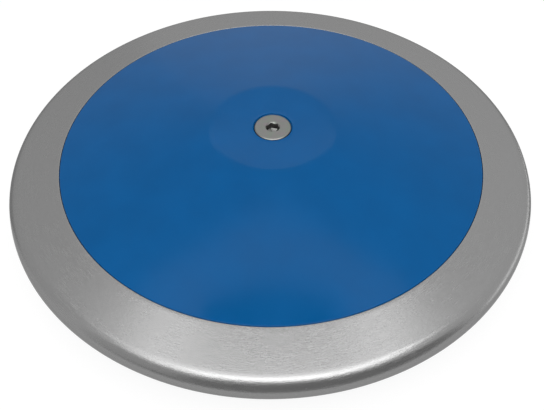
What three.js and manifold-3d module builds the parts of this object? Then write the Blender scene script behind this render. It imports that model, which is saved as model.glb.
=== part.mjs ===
// A two kilogram throwing discus, in millimetres, +Z up, standing on its lower flat.
//
// The steel rim carries the weight. Two equal moulded side plates sit in its
// rebates and close it above and below. A steel spool in the middle spaces the
// plates, trim washers lie on its flange, and a countersunk screw from each side
// pulls its plate down onto the washers.

import * as THREE from 'three';
import { mergeVertices } from 'three/addons/utils/BufferGeometryUtils.js';
import Module from 'manifold-3d';

const wasm = await Module();
wasm.setup();

// The whole discus
const DISCUS_DIAMETER = 220;
const DISCUS_THICKNESS = 45;
const FLAT_DIAMETER = 51;
const EDGE_RADIUS = 6.5;

// Fits between the pieces, and how far a cutting body runs past what it cuts
const SEAT_GAP = 0.3;
const RADIAL_GAP = 0.3;
const CUT_OVERRUN = 1;

// Rim
const RIM_FACE_WIDTH = 21.5;
const WEB_THICKNESS = 4;
const WEB_REACH = 5;
const EDGE_BREAK = 0.4;

// Side plates
const PLATE_WALL = 3;
const PLATE_CENTRE_THICKNESS = 7;
const FLAT_BLEND = 1.5;
const SKIRT_WIDTH = 3.5;
const SOCKET_TUBE_WALL = 4.7;
const RIB_COUNT = 12;
const RIB_THICKNESS = 2;
const RIB_DEPTH_AT_TUBE = 6;
const RIB_DEPTH_AT_SKIRT = 3;
const COUNTERBORE_MARGIN = 0.5;

// Core spool
const CORE_DIAMETER = 20;
const CORE_ACROSS_FLATS = 17;
const FLANGE_DIAMETER = 44;
const FLANGE_THICKNESS = 6;
const FLANGE_CHAMFER = 0.8;

// Trim washers, which bring the discus to its weight, from the flange outwards
const THICK_WASHER = 2;
const MEDIUM_WASHER = 1.5;
const THIN_WASHER = 1;
const WASHERS = [
  ['thick', THICK_WASHER],
  ['medium', MEDIUM_WASHER],
  ['thin', THIN_WASHER],
];

// Countersunk M8 screws with a hexagon socket
const THREAD_DIAMETER = 8;
const THREAD_PITCH = 1.25;
const THREAD_DEPTH = 0.65;
const SCREW_LENGTH = 16;
const SCREW_HEAD_DIAMETER = 15.2;
const SCREW_HEAD_LAND = 0.6;
const SCREW_HEAD_CHAMFER = 0.2;
const SCREW_RECESS = 0.05;
const SCREW_HOLE_MARGIN = 0.5;
const HEX_ACROSS_FLATS = 5;
const HEX_DEPTH = 3.1;
const HEX_CHAMFER = 0.25;
const HEX_TURN_DEGREES = -15;

// Facets round the large rings, round the small turned pieces, along the rim's
// rounded edge and round one turn of thread
const RING_SEGMENTS = 72;
const SMALL_SEGMENTS = 36;
const EDGE_SEGMENTS = 10;
const THREAD_SEGMENTS = 12;

// The thread's outline along one pitch, from the middle of a crest: where the
// crest ends, where the root begins and ends, and where the next crest begins
const CREST_END_SHARE = 1 / 16;
const ROOT_START_SHARE = 6 / 16;
const ROOT_END_SHARE = 10 / 16;

// Places that follow from the sizes. Heights count from the middle plane.
const halfThickness = DISCUS_THICKNESS / 2;
const discusRadius = DISCUS_DIAMETER / 2;
const flatRadius = FLAT_DIAMETER / 2;
const edgeCentre = discusRadius - EDGE_RADIUS;
const taperAngle = taperFromFlatToEdge();
const rebateRadius = discusRadius - RIM_FACE_WIDTH;
const plateRadius = rebateRadius - RADIAL_GAP;
const skirtFoot = WEB_THICKNESS / 2 + SEAT_GAP;
const skirtInnerRadius = plateRadius - SKIRT_WIDTH;
const coreRadius = CORE_DIAMETER / 2;
const coreEnd = halfThickness - PLATE_CENTRE_THICKNESS - SEAT_GAP;
const socketRadius = coreRadius + RADIAL_GAP;
const socketTop = coreEnd + SEAT_GAP;
const tubeRadius = socketRadius + SOCKET_TUBE_WALL;
const washerStack = WASHERS.reduce((sum, [, thickness]) => sum + thickness + SEAT_GAP, 0);
const tubeEnd = FLANGE_THICKNESS / 2 + washerStack + SEAT_GAP;
const keyStart = tubeEnd + EDGE_BREAK;
const threadRadius = THREAD_DIAMETER / 2;
const headRadius = SCREW_HEAD_DIAMETER / 2;
const headFace = halfThickness - SCREW_RECESS;
const coneTop = headFace - SCREW_HEAD_LAND;
const coneBottom = coneTop - (headRadius - threadRadius);
const screwTip = headFace - SCREW_LENGTH;
const screwHoleRadius = threadRadius + SCREW_HOLE_MARGIN;
const counterboreRadius = headRadius + COUNTERBORE_MARGIN;

// The angle of the straight side that runs from the flat's edge and touches the
// rim's rounded edge.
function taperFromFlatToEdge() {
  const run = edgeCentre - flatRadius;
  const toCentre = Math.atan2(halfThickness, run);
  const toTouch = Math.asin(EDGE_RADIUS / Math.hypot(run, halfThickness));
  return toCentre - toTouch;
}

// Height of the outer face over the middle plane at a radius.
function outerHeight(radius) {
  return halfThickness - Math.max(0, radius - flatRadius) * Math.tan(taperAngle);
}

// Height of a side plate's inner face on its sloping wall.
function innerHeight(radius) {
  return outerHeight(radius) - PLATE_WALL / Math.cos(taperAngle);
}

// A body turned from an outline of [radius, height] points, walked anticlockwise.
// An outline that doesn't begin on the axis closes on its first point.
function turned(outline, segments) {
  const points = outline.map(([radius, height]) => new THREE.Vector2(radius, height));
  if (outline[0][0] > 0) {
    points.push(points[0].clone());
  }
  return new THREE.LatheGeometry(points, segments).rotateX(Math.PI / 2);
}

function cylinder(radius, bottom, top, segments) {
  return turned([[0, bottom], [radius, bottom], [radius, top], [0, top]], segments);
}

// Turns a closed geometry into a solid that can be joined and cut.
function solidOf(geometry) {
  const bare = geometry.clone();
  bare.deleteAttribute('normal');
  bare.deleteAttribute('uv');
  const merged = mergeVertices(bare);
  return new wasm.Manifold(new wasm.Mesh({
    numProp: 3,
    vertProperties: new Float32Array(merged.attributes.position.array),
    triVerts: new Uint32Array(merged.index.array),
  }));
}

function geometryOf(solid) {
  const mesh = solid.getMesh();
  const geometry = new THREE.BufferGeometry();
  geometry.setAttribute('position', new THREE.BufferAttribute(mesh.vertProperties, 3));
  geometry.setIndex(new THREE.BufferAttribute(mesh.triVerts, 1));
  geometry.computeVertexNormals();
  return geometry;
}

// Rim: a ring with a rounded outer edge, tapered faces, and a rebate on each side
// that leaves a web in the middle for the side plates to sit on.
function rimGeometry() {
  const webHalf = WEB_THICKNESS / 2;
  const webRadius = rebateRadius - WEB_REACH;
  const lipRadius = rebateRadius + EDGE_BREAK;
  const lowerHalf = [
    [webRadius, -webHalf],
    [rebateRadius, -webHalf],
    [rebateRadius, EDGE_BREAK - outerHeight(rebateRadius)],
    [lipRadius, -outerHeight(lipRadius)],
  ];
  const touch = Math.PI / 2 - taperAngle;
  const edge = [];
  for (let step = 0; step <= EDGE_SEGMENTS; step += 1) {
    const angle = touch * (2 * step / EDGE_SEGMENTS - 1);
    edge.push([
      edgeCentre + EDGE_RADIUS * Math.cos(angle),
      EDGE_RADIUS * Math.sin(angle),
    ]);
  }
  const upperHalf = lowerHalf.map(([radius, height]) => [radius, -height]).reverse();
  return turned([...lowerHalf, ...edge, ...upperHalf], RING_SEGMENTS);
}

// The turned body of a side plate: flat centre, sloping wall, skirt that stands on
// the rim's web, and a solid tube in the middle that the core's socket is cut in.
function plateBody() {
  const seatTop = coneTop + counterboreRadius - headRadius - SEAT_GAP;
  const seatBottom = seatTop - (counterboreRadius - screwHoleRadius);
  return turned([
    [screwHoleRadius, tubeEnd],
    [tubeRadius, tubeEnd],
    [tubeRadius, halfThickness - PLATE_WALL],
    [flatRadius - PLATE_WALL * Math.tan(taperAngle / 2), halfThickness - PLATE_WALL],
    [skirtInnerRadius, innerHeight(skirtInnerRadius)],
    [skirtInnerRadius, skirtFoot],
    [plateRadius - EDGE_BREAK, skirtFoot],
    [plateRadius, skirtFoot + EDGE_BREAK],
    [plateRadius, outerHeight(plateRadius) - EDGE_BREAK],
    [plateRadius - EDGE_BREAK, outerHeight(plateRadius - EDGE_BREAK)],
    [flatRadius + FLAT_BLEND, outerHeight(flatRadius + FLAT_BLEND)],
    [flatRadius - FLAT_BLEND, halfThickness],
    [counterboreRadius, halfThickness],
    [counterboreRadius, seatTop],
    [screwHoleRadius, seatBottom],
  ], RING_SEGMENTS);
}

// One stiffening rib, from the tube to the skirt, under the wall. Its top and its
// ends lie inside the material that it stiffens.
function plateRib() {
  const start = tubeRadius - SOCKET_TUBE_WALL / 2;
  const end = skirtInnerRadius + SKIRT_WIDTH / 2;
  const intoWall = PLATE_WALL / 2;
  const outline = new THREE.Shape();
  outline.moveTo(start, halfThickness - PLATE_WALL - RIB_DEPTH_AT_TUBE);
  outline.lineTo(end, innerHeight(end) - RIB_DEPTH_AT_SKIRT);
  outline.lineTo(end, innerHeight(end) + intoWall);
  outline.lineTo(flatRadius, innerHeight(flatRadius) + intoWall);
  outline.lineTo(start, halfThickness - PLATE_WALL + intoWall);
  outline.closePath();
  return new THREE.ExtrudeGeometry(outline, { depth: RIB_THICKNESS, bevelEnabled: false })
    .rotateX(Math.PI / 2)
    .translate(0, RIB_THICKNESS / 2, 0);
}

// Cuts two parallel flats on a round body between two heights.
function withFlats(solid, radius, acrossFlats, bottom, top) {
  const side = 2 * (radius + CUT_OVERRUN);
  let flattened = solid;
  for (const direction of [1, -1]) {
    const box = new THREE.BoxGeometry(side, side, top - bottom)
      .translate(0, direction * (acrossFlats + side) / 2, (bottom + top) / 2);
    flattened = flattened.subtract(solidOf(box));
  }
  return flattened;
}

// Side plate: the turned body with its ribs, less the socket for the core. The
// socket is round at its mouth and has two flats further in, so the core can't turn.
function sidePlateGeometry() {
  let plate = solidOf(plateBody());
  const rib = plateRib();
  for (let index = 0; index < RIB_COUNT; index += 1) {
    plate = plate.add(solidOf(rib.clone().rotateZ((index + 0.5) / RIB_COUNT * 2 * Math.PI)));
  }
  const bore = solidOf(cylinder(socketRadius, tubeEnd - CUT_OVERRUN, socketTop, SMALL_SEGMENTS));
  const flats = CORE_ACROSS_FLATS + 2 * RADIAL_GAP;
  const socket = withFlats(
    bore, socketRadius, flats, keyStart + SEAT_GAP, socketTop + CUT_OVERRUN,
  );
  return geometryOf(plate.subtract(socket));
}

// A rod with a helical thread, closed at both ends. Its crest runs through the X
// axis at height zero, so two rods fit the same thread from either side.
function threadedRod(bottom, top, margin) {
  const crest = threadRadius + margin;
  const root = crest - THREAD_DEPTH;
  const outline = [
    [-CREST_END_SHARE, crest],
    [CREST_END_SHARE, crest],
    [ROOT_START_SHARE, root],
    [ROOT_END_SHARE, root],
  ];
  const firstStep = Math.floor(bottom / THREAD_PITCH - 1) * THREAD_SEGMENTS;
  const lastStep = Math.ceil(top / THREAD_PITCH + 1) * THREAD_SEGMENTS;
  const positions = [];
  for (let step = firstStep; step <= lastStep; step += 1) {
    const turns = step / THREAD_SEGMENTS;
    const angle = 2 * Math.PI * turns;
    for (const [share, radius] of outline) {
      positions.push(radius * Math.cos(angle), radius * Math.sin(angle));
      positions.push((turns + share) * THREAD_PITCH);
    }
  }
  const count = outline.length;
  const stepsInAll = lastStep - firstStep;
  // The place after the outline's last point is its first point one turn later.
  const at = (step, place) => (
    place < count ? step * count + place : (step + THREAD_SEGMENTS) * count
  );
  const faces = [];
  for (let step = 0; step < stepsInAll; step += 1) {
    const places = step + THREAD_SEGMENTS < stepsInAll ? count : count - 1;
    for (let place = 0; place < places; place += 1) {
      const [a, b] = [at(step, place), at(step + 1, place)];
      const [c, d] = [at(step + 1, place + 1), at(step, place + 1)];
      faces.push(a, b, c, a, c, d);
    }
  }
  closeRodEnds(positions, faces, at, stepsInAll, count);
  const rod = new THREE.BufferGeometry();
  rod.setAttribute('position', new THREE.Float32BufferAttribute(positions, 3));
  rod.setIndex(faces);
  return solidOf(rod);
}

// Fans from a point on the axis close the first and the last turn of a rod.
function closeRodEnds(positions, faces, at, stepsInAll, count) {
  const lowerLoop = [];
  for (let step = 0; step < THREAD_SEGMENTS; step += 1) {
    lowerLoop.push(at(step, 0));
  }
  for (let place = count; place > 0; place -= 1) {
    lowerLoop.push(at(0, place));
  }
  const upperLoop = [];
  for (let place = 0; place < count; place += 1) {
    upperLoop.push(at(stepsInAll, place));
  }
  for (let step = 1; step <= THREAD_SEGMENTS; step += 1) {
    upperLoop.push(at(stepsInAll - step, count - 1));
  }
  for (const loop of [lowerLoop, upperLoop]) {
    const height = positions[3 * loop[0] + 2];
    const centre = positions.length / 3;
    positions.push(0, 0, height);
    loop.forEach((corner, index) => {
      faces.push(centre, loop[(index + 1) % loop.length], corner);
    });
  }
}

// Core spool: a round bar with a flange round its middle, flats at its ends and
// one thread right through for both screws.
function coreGeometry() {
  const flangeRadius = FLANGE_DIAMETER / 2;
  const flangeHalf = FLANGE_THICKNESS / 2;
  const bar = turned([
    [0, -coreEnd],
    [coreRadius - EDGE_BREAK, -coreEnd],
    [coreRadius, EDGE_BREAK - coreEnd],
    [coreRadius, -flangeHalf],
    [flangeRadius - FLANGE_CHAMFER, -flangeHalf],
    [flangeRadius, FLANGE_CHAMFER - flangeHalf],
    [flangeRadius, flangeHalf - FLANGE_CHAMFER],
    [flangeRadius - FLANGE_CHAMFER, flangeHalf],
    [coreRadius, flangeHalf],
    [coreRadius, coreEnd - EDGE_BREAK],
    [coreRadius - EDGE_BREAK, coreEnd],
    [0, coreEnd],
  ], SMALL_SEGMENTS);
  let core = solidOf(bar);
  core = withFlats(core, coreRadius, CORE_ACROSS_FLATS, keyStart, coreEnd + CUT_OVERRUN);
  core = withFlats(core, coreRadius, CORE_ACROSS_FLATS, -coreEnd - CUT_OVERRUN, -keyStart);
  return geometryOf(core.subtract(threadedRod(-coreEnd, coreEnd, RADIAL_GAP)));
}

// Trim washer: a flat ring on the spool's flange.
function washerGeometry(bottom, thickness) {
  return turned([
    [socketRadius, bottom],
    [FLANGE_DIAMETER / 2, bottom],
    [FLANGE_DIAMETER / 2, bottom + thickness],
    [socketRadius, bottom + thickness],
  ], SMALL_SEGMENTS);
}

// Screw: threaded up to a ninety degree head whose face lies just below the
// plate's flat, with a hexagon socket.
function screwGeometry() {
  const root = threadRadius - THREAD_DEPTH;
  const wide = threadRadius + CUT_OVERRUN;
  const rodTop = coneBottom + THREAD_DEPTH;
  const tip = solidOf(turned([
    [0, screwTip],
    [root, screwTip],
    [wide, screwTip + wide - root],
    [wide, rodTop],
    [0, rodTop],
  ], SMALL_SEGMENTS));
  const head = solidOf(turned([
    [0, coneBottom - THREAD_DEPTH],
    [root, coneBottom - THREAD_DEPTH],
    [headRadius, coneTop],
    [headRadius, headFace - SCREW_HEAD_CHAMFER],
    [headRadius - SCREW_HEAD_CHAMFER, headFace],
    [0, headFace],
  ], SMALL_SEGMENTS));
  const shank = threadedRod(screwTip, rodTop, 0).intersect(tip);
  return geometryOf(shank.add(head).subtract(hexSocket()));
}

// The hexagon socket's cutting body: a six-sided hole with a coned mouth that is
// a little wider than the hexagon's corners.
function hexSocket() {
  const corner = HEX_ACROSS_FLATS / Math.sqrt(3);
  const mouth = corner + HEX_CHAMFER;
  const flat = HEX_ACROSS_FLATS / 2;
  const hole = new THREE.CylinderGeometry(corner, corner, HEX_DEPTH + CUT_OVERRUN, 6)
    .rotateX(Math.PI / 2)
    .rotateZ(Math.PI / 6 + THREE.MathUtils.degToRad(HEX_TURN_DEGREES))
    .translate(0, 0, headFace + (CUT_OVERRUN - HEX_DEPTH) / 2);
  const cone = turned([
    [0, headFace - (mouth - flat)],
    [flat, headFace - (mouth - flat)],
    [mouth + CUT_OVERRUN, headFace + CUT_OVERRUN],
    [0, headFace + CUT_OVERRUN],
  ], SMALL_SEGMENTS);
  return solidOf(hole).add(solidOf(cone));
}

// Materials
const turnedSteel = new THREE.MeshStandardMaterial({
  color: 0xb4b6b6, roughness: 0.34, metalness: 1,
});
const bluePlastic = new THREE.MeshStandardMaterial({
  color: 0x0b5394, roughness: 0.28, metalness: 0,
});
const screwSteel = new THREE.MeshStandardMaterial({
  color: 0x9a9c9c, roughness: 0.38, metalness: 1,
});
const coreSteel = new THREE.MeshStandardMaterial({
  color: 0x8e9090, roughness: 0.42, metalness: 1,
});
const zincPlate = new THREE.MeshStandardMaterial({
  color: 0xc3c7cb, roughness: 0.36, metalness: 1,
});

function namedMesh(name, geometry, material) {
  const mesh = new THREE.Mesh(geometry, material);
  mesh.name = name;
  return mesh;
}

// The washers of one side, stacked on the flange.
function washerMeshes(side) {
  let bottom = FLANGE_THICKNESS / 2 + SEAT_GAP;
  return WASHERS.map(([word, thickness]) => {
    const geometry = washerGeometry(bottom, thickness);
    bottom += thickness + SEAT_GAP;
    return namedMesh(`${side}_trim_washer_${word}`, geometry, zincPlate);
  });
}

// One side of the discus: its plate, its washers and its screw.
function sideGroup(side, plateGeometry, screw) {
  const group = new THREE.Group();
  group.add(namedMesh(`${side}_side_plate`, plateGeometry, bluePlastic));
  group.add(...washerMeshes(side));
  group.add(namedMesh(`${side}_screw`, screw, screwSteel));
  return group;
}

const discus = new THREE.Group();
const plate = sidePlateGeometry();
const screw = screwGeometry();
const upperSide = sideGroup('upper', plate, screw);
const lowerSide = sideGroup('lower', plate, screw);
lowerSide.rotation.x = Math.PI;
discus.add(namedMesh('rim', rimGeometry(), turnedSteel));
discus.add(namedMesh('core_spool', coreGeometry(), coreSteel));
discus.add(upperSide, lowerSide);
discus.position.z = halfThickness;

const model = new THREE.Group();
model.add(discus);

export default model;
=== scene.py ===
# %% [markdown]
# A discus, dressed for a studio picture
#
# A throwing discus is a heavy steel ring closed by two shallow plastic plates.
# A spool in the middle holds the plates apart, and a countersunk screw from each
# side holds them on. The engineering model already has every piece in its true
# place, so this script only makes what the eye sees: finer turned shapes, the
# finish of each surface, the light and the camera.

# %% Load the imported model
import math

import bmesh
import bpy
from mathutils import Matrix, Vector


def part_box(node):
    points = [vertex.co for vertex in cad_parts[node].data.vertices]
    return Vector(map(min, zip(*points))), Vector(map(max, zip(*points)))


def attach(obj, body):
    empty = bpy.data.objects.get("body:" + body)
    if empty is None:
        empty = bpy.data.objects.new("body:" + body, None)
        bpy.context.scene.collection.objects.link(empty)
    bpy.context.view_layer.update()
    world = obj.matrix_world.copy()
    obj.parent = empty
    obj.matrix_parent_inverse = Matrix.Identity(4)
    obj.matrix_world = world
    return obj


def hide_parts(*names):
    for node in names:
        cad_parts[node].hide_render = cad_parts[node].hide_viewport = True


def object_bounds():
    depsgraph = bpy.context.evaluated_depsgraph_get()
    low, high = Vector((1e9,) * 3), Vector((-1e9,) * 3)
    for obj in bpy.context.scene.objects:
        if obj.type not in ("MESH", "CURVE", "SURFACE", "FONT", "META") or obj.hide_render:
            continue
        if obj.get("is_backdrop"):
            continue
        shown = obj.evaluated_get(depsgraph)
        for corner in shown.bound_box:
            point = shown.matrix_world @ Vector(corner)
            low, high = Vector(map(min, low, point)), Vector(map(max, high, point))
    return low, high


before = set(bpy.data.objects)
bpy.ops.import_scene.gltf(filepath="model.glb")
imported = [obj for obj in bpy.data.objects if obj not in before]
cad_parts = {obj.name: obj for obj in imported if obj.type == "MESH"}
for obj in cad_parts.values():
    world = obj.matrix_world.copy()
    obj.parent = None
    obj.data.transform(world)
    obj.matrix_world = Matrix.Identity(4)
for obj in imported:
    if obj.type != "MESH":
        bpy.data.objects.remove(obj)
cad_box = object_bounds()
print("nodes in the frame:", ", ".join(sorted(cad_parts)))

# %% [markdown]
# The sizes
#
# Blender works in metres and a machinist in millimetres, so one value turns the
# one into the other. Heights are counted from the middle of the disc's thickness,
# because both faces are alike. The outer sizes are read from the frame, which
# keeps the dressed pieces exactly where the engineering model has them. Only sizes
# that a box can't give, such as the width of the flat, are written here.

# %% Sizes
MM = 0.001
disc_radius = cad_box[1].x
half_thickness = cad_box[1].z / 2
flat_radius = 25.5 * MM
edge_radius = 6.5 * MM
edge_centre = disc_radius - edge_radius
seat_gap = 0.3 * MM


def top_of(node):
    """The height of a piece's top above the middle of the disc."""
    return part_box(node)[1].z - half_thickness


plate_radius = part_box("upper_side_plate")[1].x
screw_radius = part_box("upper_screw")[1].x
screw_face = top_of("upper_screw")
screw_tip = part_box("upper_screw")[0].z - half_thickness
core_end = top_of("core_spool")
print(f"disc {2 * disc_radius / MM:.1f} mm across, {2 * half_thickness / MM:.1f} mm thick")
print(f"plate {2 * plate_radius / MM:.1f} mm across, screw head {2 * screw_radius / MM:.1f} mm")

# %% [markdown]
# The taper
#
# Each face slopes from the flat in the middle down to the rounded edge, in one
# straight line that touches the edge's circle. The angle of that line follows from
# the right triangle between the flat's edge, the circle's centre and the point of
# touch, so plate and rim share one slope and the joint between them runs smooth.

# %% The slope that plate and rim share
run = edge_centre - flat_radius
taper = math.acos(edge_radius / math.hypot(run, half_thickness)) - math.atan2(run, half_thickness)


def face_height(radius, below=0.0):
    """The height of the sloping face at a radius, or of a line that far under it."""
    corner = flat_radius - below * math.tan(taper / 2)
    return half_thickness - below - max(radius - corner, 0) * math.tan(taper)


touch_radius = edge_centre + edge_radius * math.sin(taper)
touch_height = edge_radius * math.cos(taper)
print(f"taper {math.degrees(taper):.2f} degrees, meets the edge at {touch_radius / MM:.1f} mm")

# %% [markdown]
# Turning on a lathe, in Blender
#
# Nearly every piece of a discus is turned or moulded round, so each one starts as
# half of its section: a thin wire of a few points beside the axis. Real corners
# are never quite sharp, and a wire's corners can be rounded before it is turned,
# which costs nothing and catches the light like the real thing. Long straight
# stretches get extra points, so that smooth shading stays flat along them.
# Turning the wire once round the Z axis makes the skin of the piece.

# %% Helpers that draw a section and turn it
WELD = 0.001 * MM
LONGEST_STRETCH = 1.6 * MM


def section(points, closed):
    """Draws a wire through points of (radius, height) in the XZ plane."""
    shape = bmesh.new()
    corners = [shape.verts.new((radius, 0, height)) for radius, height in points]
    for first, second in zip(corners, corners[1:]):
        shape.edges.new((first, second))
    if closed:
        shape.edges.new((corners[-1], corners[0]))
    return shape, corners


def round_corners(shape, corners, reach, steps=4):
    """Rounds corners of a wire; the curve starts and ends that far from a corner."""
    bmesh.ops.bevel(
        shape, geom=corners, offset=reach, offset_type="OFFSET", segments=steps,
        profile=0.5, affect="VERTICES", material=-1,
    )


def divide(shape, longest=LONGEST_STRETCH):
    """Adds points along straight stretches that are longer than this."""
    for edge in shape.edges[:]:
        cuts = int(edge.calc_length() / longest)
        if cuts:
            bmesh.ops.subdivide_edges(shape, edges=[edge], cuts=cuts)


def made_points(result):
    """The points among the things that an operator says it made."""
    return [part for part in result["geom"] if isinstance(part, bmesh.types.BMVert)]


def turn(shape, steps):
    """Turns the wire once round the Z axis and closes the skin."""
    bmesh.ops.spin(
        shape, geom=shape.verts[:] + shape.edges[:], cent=(0, 0, 0), axis=(0, 0, 1),
        dvec=(0, 0, 0), angle=2 * math.pi, steps=steps, use_merge=True,
    )
    bmesh.ops.remove_doubles(shape, verts=shape.verts[:], dist=WELD)
    bmesh.ops.recalc_face_normals(shape, faces=shape.faces[:])

# %% [markdown]
# Handing a piece over
#
# A finished mesh is moved up to the disc's middle, shaded smooth with crisp
# corners kept, and given its material. It then takes the place of the plainer
# engineering solid. Pieces on the lower side are the same shape, turned half round
# the X axis, because a discus has no top or bottom.

# %% Helper that finishes a piece
SHARP_FROM = math.radians(35)


def finish_piece(name, shape, material, node, turned_over=False):
    """Makes an object of the shape, in place of one node of the frame."""
    if turned_over:
        half_turn = Matrix.Rotation(math.pi, 3, "X")
        bmesh.ops.rotate(shape, verts=shape.verts[:], cent=(0, 0, 0), matrix=half_turn)
    bmesh.ops.translate(shape, verts=shape.verts[:], vec=(0, 0, half_thickness))
    for face in shape.faces:
        face.smooth = True
    for edge in shape.edges:
        edge.smooth = edge.calc_face_angle(0) < SHARP_FROM
    mesh = bpy.data.meshes.new(name)
    shape.to_mesh(mesh)
    shape.free()
    mesh.materials.append(material)
    piece = bpy.data.objects.new(name, mesh)
    bpy.context.scene.collection.objects.link(piece)
    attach(piece, "root")
    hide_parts(node)
    triangles = sum(len(polygon.vertices) - 2 for polygon in mesh.polygons)
    print(f"{name}: {triangles} triangles")
    return piece

# %% [markdown]
# Colours and nodes
#
# Colours are written as they would be picked from a picture, as hex values, and
# one function turns them into the linear light that the renderer adds up. A
# second small function adds a node with its settings and its links, and a few more
# take up what the materials share, so that each material below reads from top to
# bottom like a recipe.

# %% Helpers for colours and nodes
def linear(code):
    """Turns a colour such as "8a8c8c" from sRGB into linear red, green, blue, alpha."""
    channels = []
    for start in (0, 2, 4):
        value = int(code[start:start + 2], 16) / 255
        if value > 0.04045:
            value = ((value + 0.055) / 1.055) ** 2.4
        else:
            value = value / 12.92
        channels.append(value)
    return (*channels, 1.0)


def add_node(tree, kind, settings=None, inputs=None):
    """Adds a node. An input is given a value, or another node's output to link."""
    node = tree.nodes.new(kind)
    for name, value in (settings or {}).items():
        setattr(node, name, value)
    for name, value in (inputs or {}).items():
        if isinstance(value, bpy.types.NodeSocket):
            tree.links.new(value, node.inputs[name])
        else:
            node.inputs[name].default_value = value
    return node


def empty_material(name):
    """Makes a material with no nodes yet and returns it with its tree."""
    material = bpy.data.materials.new(name)
    material.use_nodes = True
    material.node_tree.nodes.clear()
    return material, material.node_tree


def new_material(name, settings):
    """Starts a material with one surface shader and returns it with its tree."""
    material, tree = empty_material(name)
    shader = add_node(tree, "ShaderNodeBsdfPrincipled", inputs=settings)
    add_node(tree, "ShaderNodeOutputMaterial", inputs={"Surface": shader.outputs["BSDF"]})
    return material, tree, shader


def feed(tree, shader, sources):
    """Links each source to the input of the shader that it is named for."""
    for name, source in sources.items():
        tree.links.new(source, shader.inputs[name])


def relief(tree, pattern, strength, distance):
    """Turns a pattern into dents of up to this distance."""
    dents = add_node(tree, "ShaderNodeBump", inputs={
        "Height": pattern, "Strength": strength, "Distance": distance,
    })
    return dents.outputs[0]

# %% [markdown]
# Marks of the lathe
#
# A turned and burnished surface is covered in very fine lines that run round the
# axis. Each is short, because the tool and the polishing cloth skip. Noise that
# is squeezed across the radius and drawn out along the circle looks like that. The
# pattern is read from the direction and the distance from the axis, so it follows
# the circle with no seam. Real lines are a tenth of a millimetre apart, too fine
# for the picture, so they are drawn about half a millimetre apart. A second, plain
# pattern of blotches serves for rubbed patches, wipe marks and tints. Two more
# functions turn a pattern into a range of values or of colours.

# %% Patterns and how they are used
def round_pattern(tree, across, along, seed=0.0):
    """Noise with streaks `across` wide and `along` long, both in metres at the rim."""
    place = add_node(tree, "ShaderNodeTexCoord")
    apart = add_node(tree, "ShaderNodeSeparateXYZ", inputs={0: place.outputs["Object"]})
    flat = add_node(tree, "ShaderNodeCombineXYZ", inputs={
        "X": apart.outputs["X"], "Y": apart.outputs["Y"],
    })
    radius = add_node(tree, "ShaderNodeVectorMath", {"operation": "LENGTH"}, {
        0: flat.outputs[0],
    })
    heading = add_node(tree, "ShaderNodeVectorMath", {"operation": "NORMALIZE"}, {
        0: flat.outputs[0],
    })
    stretched = add_node(tree, "ShaderNodeVectorMath", {"operation": "SCALE"}, {
        0: heading.outputs[0], "Scale": disc_radius / along,
    })
    rings = add_node(tree, "ShaderNodeMath", {"operation": "MULTIPLY"}, {
        0: radius.outputs["Value"], 1: 1 / across,
    })
    upward = add_node(tree, "ShaderNodeCombineXYZ", inputs={"Z": rings.outputs[0]})
    spot = add_node(tree, "ShaderNodeVectorMath", {"operation": "ADD"}, {
        0: stretched.outputs[0], 1: upward.outputs[0],
    })
    height = add_node(tree, "ShaderNodeMath", {"operation": "MULTIPLY_ADD"}, {
        0: apart.outputs["Z"], 1: 1 / across, 2: seed,
    })
    noise = add_node(tree, "ShaderNodeTexNoise", {"noise_dimensions": "4D"}, {
        "Vector": spot.outputs[0], "W": height.outputs[0], "Scale": 1.0, "Detail": 2.0,
        "Roughness": 0.6,
    })
    return noise.outputs["Fac"]


def blotches(tree, across, detail=2.0):
    """Noise with blotches of about this size, in metres."""
    place = add_node(tree, "ShaderNodeTexCoord")
    noise = add_node(tree, "ShaderNodeTexNoise", inputs={
        "Vector": place.outputs["Object"], "Scale": 1 / across, "Detail": detail,
    })
    return noise.outputs["Fac"]


def spread(tree, value, low, high, start=0.3, end=0.7):
    """Maps a pattern, which seldom leaves 0.3 to 0.7, onto low to high."""
    mapped = add_node(tree, "ShaderNodeMapRange", {"clamp": True}, {
        "Value": value, "From Min": start, "From Max": end, "To Min": low, "To Max": high,
    })
    return mapped.outputs["Result"]


def blend(tree, amount, first, second):
    """Mixes two hex colours by a pattern."""
    mixed = add_node(tree, "ShaderNodeMix", {"data_type": "RGBA"}, {
        "Factor": amount, "A": linear(first), "B": linear(second),
    })
    return mixed.outputs["Result"]

# %% [markdown]
# Turned and burnished steel, for the rim
#
# The rim is bare steel, turned and then burnished with a cloth while it spins. That
# gives the eye a satin grey with a soft, wide highlight, fine streaks round the
# circle, and a slightly grainy edge where the highlight ends. The cloth rubs some
# patches smoother than others. The streaks are in the gloss and the relief, hardly
# in the colour, so they show in the highlight and fade on the plain grey sides.
# Steel this plain is dark: it sends back about a quarter of the light.

# %% Rim material
rim_steel, tree, shader = new_material("turned_burnished_steel", {
    "Metallic": 1.0, "Specular Tint": linear("d2d2d2"),
})
streaks = round_pattern(tree, across=0.5 * MM, along=4 * MM)
grain = round_pattern(tree, across=0.4 * MM, along=1.5 * MM, seed=7.0)
patches = blotches(tree, across=13 * MM)
even_polish = 0.245
rubbed = add_node(tree, "ShaderNodeMix", {"data_type": "FLOAT"}, {
    "Factor": spread(tree, patches, 0.25, 1, start=0.4, end=0.6), "A": even_polish,
    "B": spread(tree, streaks, 0.175, 0.315, start=0.35, end=0.65),
})
feed(tree, shader, {
    "Base Color": blend(tree, spread(tree, streaks, 0, 1), "8a8a8a", "8c8c8c"),
    "Roughness": rubbed.outputs["Result"],
    "Normal": relief(tree, grain, strength=1.0, distance=0.04 * MM),
})
print("rim material:", rim_steel.name)

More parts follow.
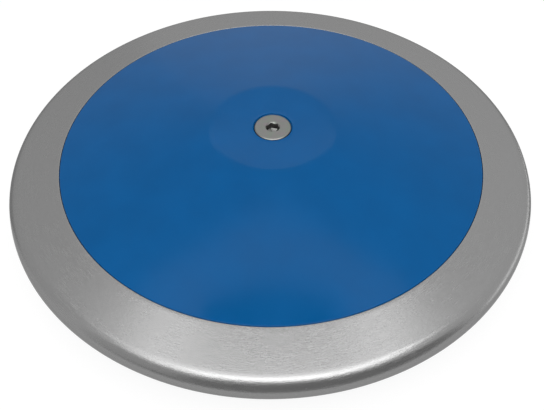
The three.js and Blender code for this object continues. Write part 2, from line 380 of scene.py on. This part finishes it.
# %% [markdown]
# Moulded ABS, for the side plates
#
# The plates are injection moulded in ABS, coloured right through. The mould was
# polished, so the surface is smooth, but plastic shrinks a little as it cools, so
# reflections wave very slightly. Handling leaves faint wipe marks that dull the
# gloss in places.

# %% Side plate material
blue_abs, tree, shader = new_material("moulded_gloss_abs", {
    "Specular IOR Level": 0.095, "IOR": 1.5,
})
wipes = blotches(tree, across=14 * MM, detail=3.0)
waves = blotches(tree, across=1.2 * MM)
feed(tree, shader, {
    "Base Color": blend(tree, spread(tree, wipes, 0, 1), "00538e", "005794"),
    "Roughness": spread(tree, wipes, 0.12, 0.16),
    "Normal": relief(tree, waves, strength=0.3, distance=0.01 * MM),
})
print("side plate material:", blue_abs.name)

# %% [markdown]
# Zinc-plated steel, for the screws
#
# The screws are cold formed and then plated with bright zinc, which has gone a
# little dull. The plating is a touch warmer than the bare steel and has a faint
# sheen of colour where its thin clear coat varies. The walls of the socket get a
# rougher finish and a darker colour; the darker colour is painted shade in the
# recess.

# %% Screw material
screw_steel, tree, shader = new_material("zinc_plated_screw", {
    "Metallic": 1.0, "Specular Tint": linear("909090"),
})
swirl = round_pattern(tree, across=0.35 * MM, along=40 * MM, seed=3.0)
tint = blotches(tree, across=2.5 * MM)
feed(tree, shader, {
    "Base Color": blend(tree, spread(tree, tint, 0, 1), "7b7678", "747b74"),
    "Roughness": spread(tree, swirl, 0.3, 0.42),
    "Normal": relief(tree, swirl, strength=0.4, distance=0.008 * MM),
})

# The darker base colours of the socket walls are painted shade in the recess.
shaded_socket_steel, tree, shader = new_material("socket_walls_painted_shade", {
    "Metallic": 1.0, "Specular Tint": linear("808080"),
})
scrapes = round_pattern(tree, across=0.2 * MM, along=8 * MM, seed=5.0)
feed(tree, shader, {
    "Base Color": blend(tree, spread(tree, scrapes, 0, 1), "626160", "7c7b7a"),
    "Roughness": spread(tree, scrapes, 0.4, 0.55),
})
print("screw materials:", screw_steel.name, "and", shaded_socket_steel.name)

# %% [markdown]
# Turned steel for the spool, plated steel for the washers
#
# These pieces are hidden between the plates. The spool is left as it comes off the
# lathe, with plain rings a good fraction of a millimetre apart. The washers are
# punched from sheet and plated, so they are brighter and have no rings, only the
# mottled grain of the zinc. Both solids are right as they are in the engineering
# model, so they only get these finishes.

# %% Spool and washer materials
core_steel, tree, shader = new_material("plain_turned_steel", {"Metallic": 1.0})
rings = round_pattern(tree, across=0.4 * MM, along=60 * MM, seed=11.0)
feed(tree, shader, {
    "Base Color": blend(tree, spread(tree, rings, 0, 1), "858888", "979b9b"),
    "Roughness": spread(tree, rings, 0.28, 0.42),
    "Normal": relief(tree, rings, strength=0.6, distance=0.02 * MM),
})

washer_steel, tree, shader = new_material("zinc_plated_sheet", {"Metallic": 1.0})
place = add_node(tree, "ShaderNodeTexCoord")
spangle = add_node(tree, "ShaderNodeTexVoronoi", inputs={
    "Vector": place.outputs["Object"], "Scale": 1 / (1.5 * MM),
})
bright = spread(tree, spangle.outputs["Color"], 0, 1, start=0, end=1)
feed(tree, shader, {
    "Base Color": blend(tree, bright, "adb1b5", "bcc0c4"),
    "Roughness": spread(tree, bright, 0.3, 0.4, start=0, end=1),
})

finishes = {"core_spool": core_steel}
for side in ("upper", "lower"):
    for thickness in ("thick", "medium", "thin"):
        finishes[f"{side}_trim_washer_{thickness}"] = washer_steel
for node, material in finishes.items():
    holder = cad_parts[node]
    if not holder.material_slots:
        holder.data.materials.append(material)
    for finish_slot in holder.material_slots:
        finish_slot.material = material
print("finished as they are:", ", ".join(finishes))

# %% [markdown]
# The rim
#
# The rim is a forged ring, turned on all sides: two sloping faces that meet in a
# rounded edge, a step that each plate sits in, and a thin web between the steps. It
# is drawn as half a section. The rounded edge is made by swinging the last point
# about the edge's own centre, which gives a true circle that touches the slope.
# The half is mirrored across the middle, and the whole section is turned. The inner
# lip was burnished over towards the plate, which leaves only a hair-thin gap.

# %% Model the rim
web_half = 2 * MM
rebate_radius = plate_radius + seat_gap
web_radius = rebate_radius - 5 * MM
lip_radius = plate_radius + 0.12 * MM
lip_height = 0.9 * MM

shape, corners = section([
    (web_radius, 0),
    (web_radius, web_half),
    (rebate_radius, web_half),
    (rebate_radius, face_height(rebate_radius) - lip_height),
    (lip_radius, face_height(lip_radius)),
    (touch_radius, touch_height),
], closed=False)
bmesh.ops.spin(
    shape, geom=[corners[5]], cent=(edge_centre, 0, 0), axis=(0, 1, 0), dvec=(0, 0, 0),
    angle=math.pi / 2 - taper, steps=24,
)
web_edge, lip = corners[1], corners[4]
round_corners(shape, [web_edge], reach=0.4 * MM)
round_corners(shape, [lip], reach=0.3 * MM)
divide(shape)
bmesh.ops.mirror(
    shape, geom=shape.verts[:] + shape.edges[:], matrix=Matrix(), merge_dist=WELD, axis="Z",
)
turn(shape, steps=288)
finish_piece("turned_rim", shape, rim_steel, "rim")

# %% [markdown]
# The side plates
#
# A side plate is a moulded shell: a flat centre, a sloping wall 3 mm thick, and a
# skirt at its edge that stands on the rim's web. A thick tube in the middle takes
# the end of the spool. The shell is one closed section, turned. Its corners are
# rounded: wide at the roots of the tube and the skirt and round the flat, and
# small at the other edges.

# %% The shell of a side plate
WALL = 3 * MM
tube_radius = 15 * MM
tube_end = 8.7 * MM
hole_radius = 4.5 * MM
counterbore_radius = screw_radius + 0.5 * MM
seat_top = 22.05 * MM
seat_bottom = seat_top - (counterbore_radius - hole_radius)
socket_radius = 10.3 * MM
socket_top = core_end + seat_gap
skirt_radius = plate_radius - 3.5 * MM
skirt_foot = web_half + seat_gap
straight_radius = plate_radius - 0.45 * MM


def plate_shell():
    """The turned shell of a side plate."""
    shell, corners = section([
        (hole_radius, socket_top),
        (socket_radius, socket_top),
        (socket_radius, tube_end),
        (tube_radius, tube_end),
        (tube_radius, half_thickness - WALL),
        (flat_radius - WALL * math.tan(taper / 2), half_thickness - WALL),
        (skirt_radius, face_height(skirt_radius, WALL)),
        (skirt_radius, skirt_foot),
        (plate_radius, skirt_foot),
        (plate_radius, face_height(plate_radius)),
        (straight_radius, face_height(straight_radius)),
        (flat_radius, half_thickness),
        (counterbore_radius, half_thickness),
        (counterbore_radius, seat_top),
        (hole_radius, seat_bottom),
    ], closed=True)
    wall_roots = [corners[4], corners[6]]
    free_ends = [corners[2], corners[3], corners[7], corners[8]]
    outer_edge, flat_edge, counterbore_edge = corners[9], corners[11], corners[12]
    round_corners(shell, wall_roots, reach=1.2 * MM)
    round_corners(shell, free_ends, reach=0.4 * MM)
    round_corners(shell, [outer_edge], reach=0.3 * MM)
    round_corners(shell, [flat_edge], reach=1.5 * MM, steps=8)
    round_corners(shell, [counterbore_edge], reach=0.15 * MM)
    divide(shell)
    turn(shell, steps=240)
    return shell

# %% [markdown]
# Ribs and lands
#
# Twelve ribs stiffen the wall underneath. A rib is one flat face pushed out to its
# thickness, and the spin operator repeats it round the axis. Two lands inside the
# tube stand on the spool's flats, so that the plate can't turn. Each is a slice of
# a round disc, cut straight where the flat stands and pushed up into the tube's
# roof.

# %% Ribs and lands of a side plate
def add_ribs(shell, count=12, thickness=2 * MM, inner_depth=6 * MM, outer_depth=3 * MM):
    """Adds ribs under the wall; their ends and tops are buried in the shell."""
    start = tube_radius - 2.35 * MM
    end = skirt_radius + 1.75 * MM
    buried = WALL / 2
    outline = [
        (start, half_thickness - WALL - inner_depth),
        (end, face_height(end, WALL) - outer_depth),
        (end, face_height(end, WALL) + buried),
        (flat_radius, face_height(flat_radius, WALL) + buried),
        (start, half_thickness - WALL + buried),
    ]
    corners = [shell.verts.new((radius, -thickness / 2, height)) for radius, height in outline]
    face = shell.faces.new(corners)
    pushed = bmesh.ops.extrude_face_region(shell, geom=[face])
    far_side = made_points(pushed)
    bmesh.ops.translate(shell, verts=far_side, vec=(0, thickness, 0))
    rib = corners + far_side
    bmesh.ops.rotate(
        shell, verts=rib, cent=(0, 0, 0), matrix=Matrix.Rotation(math.pi / count, 3, "Z"),
    )
    skin = {face for corner in rib for face in corner.link_faces}
    bmesh.ops.recalc_face_normals(shell, faces=list(skin))
    edges = {edge for corner in rib for edge in corner.link_edges}
    bmesh.ops.spin(
        shell, geom=rib + list(edges) + list(skin), cent=(0, 0, 0), axis=(0, 0, 1),
        dvec=(0, 0, 0), angle=2 * math.pi * (count - 1) / count, steps=count - 1,
        use_duplicate=True,
    )


def add_lands(shell, across=17.6 * MM, bottom=9.4 * MM):
    """Adds the two lands in the socket that rest on the flats of the spool."""
    radius = socket_radius + 2 * MM
    top = socket_top + 1 * MM
    for turned in (0, math.pi):
        made = bmesh.ops.create_circle(
            shell, cap_ends=True, segments=64, radius=radius,
            matrix=Matrix.Translation((0, 0, bottom)),
        )
        disc = made["verts"] + list({e for v in made["verts"] for e in v.link_edges})
        disc += list({f for v in made["verts"] for f in v.link_faces})
        side = Vector((0, math.cos(turned), 0))
        cut = bmesh.ops.bisect_plane(
            shell, geom=disc, plane_co=side * across / 2, plane_no=side, clear_inner=True,
        )
        faces = [part for part in cut["geom"] if isinstance(part, bmesh.types.BMFace)]
        pushed = bmesh.ops.extrude_face_region(shell, geom=faces)
        raised = made_points(pushed)
        bmesh.ops.translate(shell, verts=raised, vec=(0, 0, top - bottom))
        skin = {face for corner in raised for face in corner.link_faces} | set(faces)
        bmesh.ops.recalc_face_normals(shell, faces=[face for face in skin if face.is_valid])

# %% [markdown]
# Both side plates
#
# The two plates come out of one mould, so both are made by the same three steps.

# %% Model both side plates
for side in ("upper", "lower"):
    shape = plate_shell()
    add_ribs(shape)
    add_lands(shape)
    finish_piece(
        f"{side}_moulded_plate", shape, blue_abs, f"{side}_side_plate",
        turned_over=side == "lower",
    )

# %% [markdown]
# The screws
#
# Each screw has a countersunk head with a hexagon socket and an M8 thread. The
# head is turned like the other pieces, with a small break at the edge of its face,
# a short upright land and the cone. Its mouth stays open for the socket.

# %% The head of a screw
PITCH = 1.25 * MM
THREAD_RADIUS = 4 * MM
THREAD_DEPTH = 0.65 * MM
thread_root = THREAD_RADIUS - THREAD_DEPTH
hexagon_half = 2.5 * MM
hexagon_depth = 3.1 * MM
hexagon_turn = math.radians(-15)
drill_cone = hexagon_half * math.tan(math.radians(30))
mouth_radius = 2 * hexagon_half / math.sqrt(3) + 0.15 * MM
head_land = 0.6 * MM
face_break = 0.42 * MM
face_drop = 0.27 * MM
thread_start = 4.05 * MM


def screw_head(steps=144):
    """The turned head and its neck, with an open mouth."""
    cone_top = screw_face - head_land
    cone_bottom = cone_top - (screw_radius - THREAD_RADIUS)
    head, corners = section([
        (mouth_radius, screw_face),
        (screw_radius - face_break, screw_face),
        (screw_radius, screw_face - face_drop),
        (screw_radius, cone_top),
        (thread_root, cone_bottom - THREAD_DEPTH),
        (0, cone_bottom - THREAD_DEPTH),
    ], closed=False)
    round_corners(head, corners[1:4], reach=0.08 * MM)
    divide(head, longest=0.6 * MM)
    turn(head, steps)
    return head

# %% [markdown]
# The socket
#
# The head's open mouth is pushed in twice: first down a short cone to the hexagon,
# which leaves the bright scalloped chamfer of a real socket, and then straight
# down. The floor is the shallow cone that a drill leaves.

# %% The socket of a screw
def push_in(head, rim, placed):
    """Pushes an open loop of edges in; `placed` gives each point its new place."""
    pushed = bmesh.ops.extrude_edge_only(head, edges=rim)
    for point in made_points(pushed):
        point.co = placed(point.co)
    return [part for part in pushed["geom"] if isinstance(part, bmesh.types.BMEdge)]


def to_hexagon(place):
    """The point of the hexagon in the same direction, down the mouth's cone."""
    angle = math.atan2(place.y, place.x) - hexagon_turn
    sixth = math.pi / 3
    from_flat = angle % sixth - sixth / 2
    radius = hexagon_half / math.cos(from_flat)
    shrunk = radius / place.xy.length
    return Vector((place.x * shrunk, place.y * shrunk, screw_face - (mouth_radius - radius)))


def to_floor(place):
    """The point straight below, on the edge of the socket's floor."""
    return Vector((place.x, place.y, screw_face - hexagon_depth))


def close_floor(head, rim):
    """Closes the socket with the shallow cone that its drill left."""
    floor = bmesh.ops.holes_fill(head, edges=rim, sides=0)["faces"]
    centre = bmesh.ops.poke(head, faces=floor)["verts"]
    bmesh.ops.translate(head, verts=centre, vec=(0, 0, -drill_cone))
    for face in centre[0].link_faces:
        face.material_index = 0

# %% [markdown]
# The thread
#
# The thread is one tooth of its section that climbs one pitch a turn, cut off
# level at both ends. As in any metric thread, the crest is an eighth of the pitch
# wide and the root a quarter, so the section is written in sixteenths of the
# pitch. Its upper end is buried in the head, below the socket.

# %% The thread of a screw
def screw_thread(steps=48):
    """One tooth that climbs round the axis, cut level at the tip and in the head."""
    top = screw_face - head_land - thread_start
    turns = math.ceil((top - screw_tip) / PITCH) + 2
    thread, _ = section([
        (THREAD_RADIUS, screw_tip - PITCH),
        (THREAD_RADIUS, screw_tip - PITCH * 15 / 16),
        (thread_root, screw_tip - PITCH * 10 / 16),
        (thread_root, screw_tip - PITCH * 6 / 16),
        (THREAD_RADIUS, screw_tip - PITCH / 16),
        (THREAD_RADIUS, screw_tip),
    ], closed=False)
    bmesh.ops.spin(
        thread, geom=thread.verts[:] + thread.edges[:], cent=(0, 0, 0), axis=(0, 0, 1),
        dvec=(0, 0, PITCH / steps), angle=2 * math.pi * turns, steps=steps * turns,
    )
    bmesh.ops.remove_doubles(thread, verts=thread.verts[:], dist=WELD)
    for height, upward in ((screw_tip, 1), (top, -1)):
        bmesh.ops.bisect_plane(
            thread, geom=thread.verts[:] + thread.edges[:] + thread.faces[:],
            plane_co=(0, 0, height), plane_no=(0, 0, upward), clear_inner=True,
        )
        bmesh.ops.remove_doubles(thread, verts=thread.verts[:], dist=WELD)
        bmesh.ops.holes_fill(thread, edges=[e for e in thread.edges if e.is_boundary], sides=0)
    bmesh.ops.recalc_face_normals(thread, faces=thread.faces[:])
    print(f"thread: {turns} turns, volume {thread.calc_volume() / MM ** 3:.0f} cubic mm")
    return thread

# %% [markdown]
# Both screws
#
# The walls of the socket get the darker material, whose colour is painted shade,
# and the rest is bright. The thread joins the head as a second closed skin.

# %% Model both screws
for side in ("upper", "lower"):
    shape = screw_head()
    mouth = [edge for edge in shape.edges if edge.is_boundary]
    hexagon = push_in(shape, mouth, to_hexagon)
    floor_edge = push_in(shape, hexagon, to_floor)
    # The faces of the socket walls take the second material, with its painted shade.
    for edge in floor_edge:
        for face in edge.link_faces:
            face.material_index = 1
    close_floor(shape, floor_edge)
    bmesh.ops.recalc_face_normals(shape, faces=shape.faces[:])
    thread = screw_thread()
    held = bpy.data.meshes.new("thread")
    thread.to_mesh(held)
    thread.free()
    shape.from_mesh(held)
    bpy.data.meshes.remove(held)
    piece = finish_piece(
        f"{side}_socket_screw", shape, screw_steel, f"{side}_screw",
        turned_over=side == "lower",
    )
    piece.data.materials.append(shaded_socket_steel)

# %% [markdown]
# The studio: background
#
# A catalogue picture stands on a floor that melts into white. White is the colour
# of the world as the camera and mirror-like surfaces see it. The plain light that
# it gives to everything else is weak, so the lamps model the shape.

# %% World
WHITE = linear("ffffff")
all_round_light = 0.33


def seen_directly(tree):
    """1 for rays that look straight at something, in a mirror or through glass."""
    path = add_node(tree, "ShaderNodeLightPath")
    open_view = add_node(tree, "ShaderNodeMath", {"operation": "MAXIMUM"}, {
        0: path.outputs["Is Camera Ray"], 1: path.outputs["Is Glossy Ray"],
    })
    any_view = add_node(tree, "ShaderNodeMath", {"operation": "MAXIMUM"}, {
        0: open_view.outputs[0], 1: path.outputs["Is Transmission Ray"],
    })
    return any_view.outputs[0]


scene = bpy.context.scene
scene.view_settings.view_transform = "Standard"
world = bpy.data.worlds.new("white_studio")
scene.world = world
world.use_nodes = True
tree = world.node_tree
tree.nodes.clear()
around = add_node(tree, "ShaderNodeBackground", inputs={
    "Color": WHITE, "Strength": all_round_light,
})
white = add_node(tree, "ShaderNodeBackground", inputs={"Color": WHITE, "Strength": 1.0})
choice = add_node(tree, "ShaderNodeMixShader", inputs={
    0: seen_directly(tree), 1: around.outputs[0], 2: white.outputs[0],
})
add_node(tree, "ShaderNodeOutputWorld", inputs={"Surface": choice.outputs[0]})
print("world:", world.name)

# %% [markdown]
# The studio: floor
#
# The floor is white in the same way, but it keeps a soft shadow, because part of
# what the camera sees of it is a true matt surface. Away from the disc that part
# fades out, so that the floor and the white behind it meet without a line.
# Mirror-like surfaces see the floor a little darker, which gives the underside of
# the rim's edge its mid grey.

# %% Floor
floor_share = 0.8
mirror_dimming = 0.15
fade_start, fade_end = 0.4, 1.5
floor_half = 25
floor_drop = 0.1 * MM


def flat_sheet(name, half, placed, paint):
    """Makes a square of the studio; `placed` stretches, turns and moves it."""
    sheet = bmesh.new()
    bmesh.ops.create_grid(sheet, x_segments=1, y_segments=1, size=half, matrix=placed)
    mesh = bpy.data.meshes.new(name)
    sheet.to_mesh(mesh)
    sheet.free()
    mesh.materials.append(paint)
    made = bpy.data.objects.new(name, mesh)
    scene.collection.objects.link(made)
    return made


floor_paint, tree = empty_material("pale_floor")
matt = add_node(tree, "ShaderNodeBsdfDiffuse", inputs={"Color": linear("e6e6e6")})
bright = add_node(tree, "ShaderNodeEmission", inputs={"Color": WHITE, "Strength": 1.1})
place = add_node(tree, "ShaderNodeTexCoord")
away = add_node(tree, "ShaderNodeVectorMath", {"operation": "LENGTH"}, {
    0: place.outputs["Object"],
})
path = add_node(tree, "ShaderNodeLightPath")
dimmer = add_node(tree, "ShaderNodeMath", {"operation": "MULTIPLY_ADD"}, {
    0: path.outputs["Is Glossy Ray"], 1: -mirror_dimming,
    2: spread(tree, away.outputs["Value"], floor_share, 1, fade_start, fade_end),
})
share = add_node(tree, "ShaderNodeMath", {"operation": "MULTIPLY"}, {
    0: seen_directly(tree), 1: dimmer.outputs[0],
})
both = add_node(tree, "ShaderNodeMixShader", inputs={
    0: share.outputs[0], 1: matt.outputs[0], 2: bright.outputs[0],
})
add_node(tree, "ShaderNodeOutputMaterial", inputs={"Surface": both.outputs[0]})
lowered = Matrix.Translation((0, 0, -floor_drop))
flat_sheet("studio_floor", floor_half, lowered, floor_paint)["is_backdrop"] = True
print(f"floor: {2 * floor_half} m wide")

# %% [markdown]
# The studio: softboxes
#
# One softbox hangs over the object and a wider one over its front. On satin steel
# the first gives the broad highlight at the front, and where the rounded edge
# mirrors both, it has its brightest line. Two small softboxes beside them draw that
# line out to the left and the right.

# %% Softboxes
def softbox(name, width, depth, place, brightness):
    """Hangs a soft panel that shines straight down; the watts follow from its area."""
    lamp = bpy.data.lights.new(name, "AREA")
    lamp.shape = "RECTANGLE"
    lamp.size = width
    lamp.size_y = depth
    lamp.energy = math.pi * width * depth * brightness
    panel = bpy.data.objects.new(name, lamp)
    panel.location = place
    scene.collection.objects.link(panel)
    print(f"{name}: {lamp.energy:.1f} W")


softbox("softbox_top", width=1.05, depth=1.46, place=(0, -0.4, 1.2), brightness=1.47)
softbox("softbox_front", width=1.85, depth=0.64, place=(-0.09, -0.765, 1.199), brightness=2.05)
softbox("softbox_right", width=0.26, depth=0.46, place=(0.61, -0.29, 1.198), brightness=3.0)
softbox("softbox_left", width=0.3, depth=0.46, place=(-0.65, -0.21, 1.197), brightness=1.45)

# %% [markdown]
# The studio: cards
#
# The cards are there only for mirror-like surfaces. Grey ones stand in front and at
# the front left, and one lies on the floor. They give the rounded edge its dark
# line, which tells the eye that it is metal. One on the floor behind keeps the
# rim's far edge grey. A narrow black one under the softboxes deepens the blue at
# the front of the plate, and a pale one behind lifts the flat in the middle. A
# faintly grey one at the left shades that side, and a pale one on the floor at the
# right draws a light line along the rim's edge.

# %% Cards
def card(name, width, height, brightness, placed):
    """Sets up a card that only mirror-like surfaces see; `placed` turns and moves it."""
    paint, tree = empty_material(name)
    glow = add_node(tree, "ShaderNodeEmission", inputs={"Color": WHITE, "Strength": brightness})
    add_node(tree, "ShaderNodeOutputMaterial", inputs={"Surface": glow.outputs[0]})
    stretched = Matrix.Diagonal((width, height, 1, 1))
    made = flat_sheet(name, 0.5, placed @ stretched, paint)
    made.visible_camera = False
    made.visible_diffuse = False
    made.visible_shadow = False
    made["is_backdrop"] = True


def round_about(degrees, away, height):
    """A place that far away from the disc, turned from straight behind it to the left."""
    turned = Matrix.Rotation(math.radians(degrees), 4, "Z")
    return turned @ Matrix.Translation((0, away, height))


upright = Matrix.Rotation(math.pi / 2, 4, "X")
under_disc = 0.05 * MM

# Each card has its width, its height, its brightness and its place.
card("grey_front_card", 2.0, 0.6, 0.42, round_about(-163, 0.9, 0.3) @ upright)
card("grey_side_card", 0.55, 0.6, 0.8, round_about(-228, 0.9, 0.3) @ upright)
card("grey_floor_card", 0.95, 0.74, 0.45, Matrix.Translation((0.175, -0.535, 0)))
card("grey_ground_card", 1.1, 0.53, 0.62, Matrix.Translation((0, 0.255, -under_disc)))
card("black_flag", 0.5, 0.1, 0.0, Matrix.Translation((0, 0.112, 1.1)))
card("pale_back_card", 0.9, 0.28, 1.9, Matrix.Translation((0, 1.0, 1.1)))
card("grey_left_card", 2.0, 1.5, 0.87, round_about(60, 1.1, 0.75) @ upright)
card("pale_right_card", 0.24, 0.9, 2.2, round_about(-87, 0.65, 0))
print("the cards are in place")

# %% [markdown]
# The camera
#
# The photograph looks down at the discus from the front, at about 48 degrees. The
# camera was found by fitting the outlines of the rim, the plate and the screw. The
# picture is wider on one side of the fitted centre, which a small shift of the lens
# gives: so many picture points off the centre, as a share of the picture's width.

# %% Camera
picture_width = 544
off_centre = -28.2
camera_data = bpy.data.cameras.new("camera")
camera_data.sensor_width = 36
camera_data.lens = 50.95
camera_data.shift_x = off_centre / picture_width
camera = bpy.data.objects.new("camera", camera_data)
scene.collection.objects.link(camera)
camera.location = (0, -0.2344, 0.2607)
turned = Matrix.Rotation(math.radians(-3.02), 3, "Z")
tipped = Matrix.Rotation(math.radians(41.6), 3, "X")
rolled = Matrix.Rotation(math.radians(1.89), 3, "Z")
camera.rotation_euler = (turned @ tipped @ rolled).to_euler()
scene.camera = camera
print("camera at", [round(value, 4) for value in camera.location])

# %% [markdown]
# The sizes of both boxes
#
# The engineering model's box and the dressed discus's box are printed side by side,
# in millimetres. The dressed discus may not grow past the engineering model.

# %% Print the sizes of both boxes
seen_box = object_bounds()
boxes = {
    "cad": [list(cad_box[0]), list(cad_box[1])],
    "visual": [list(seen_box[0]), list(seen_box[1])],
}
for name, (lowest, highest) in boxes.items():
    sides = [round((high - low) / MM, 2) for low, high in zip(lowest, highest)]
    print(name, "box in mm:", sides)
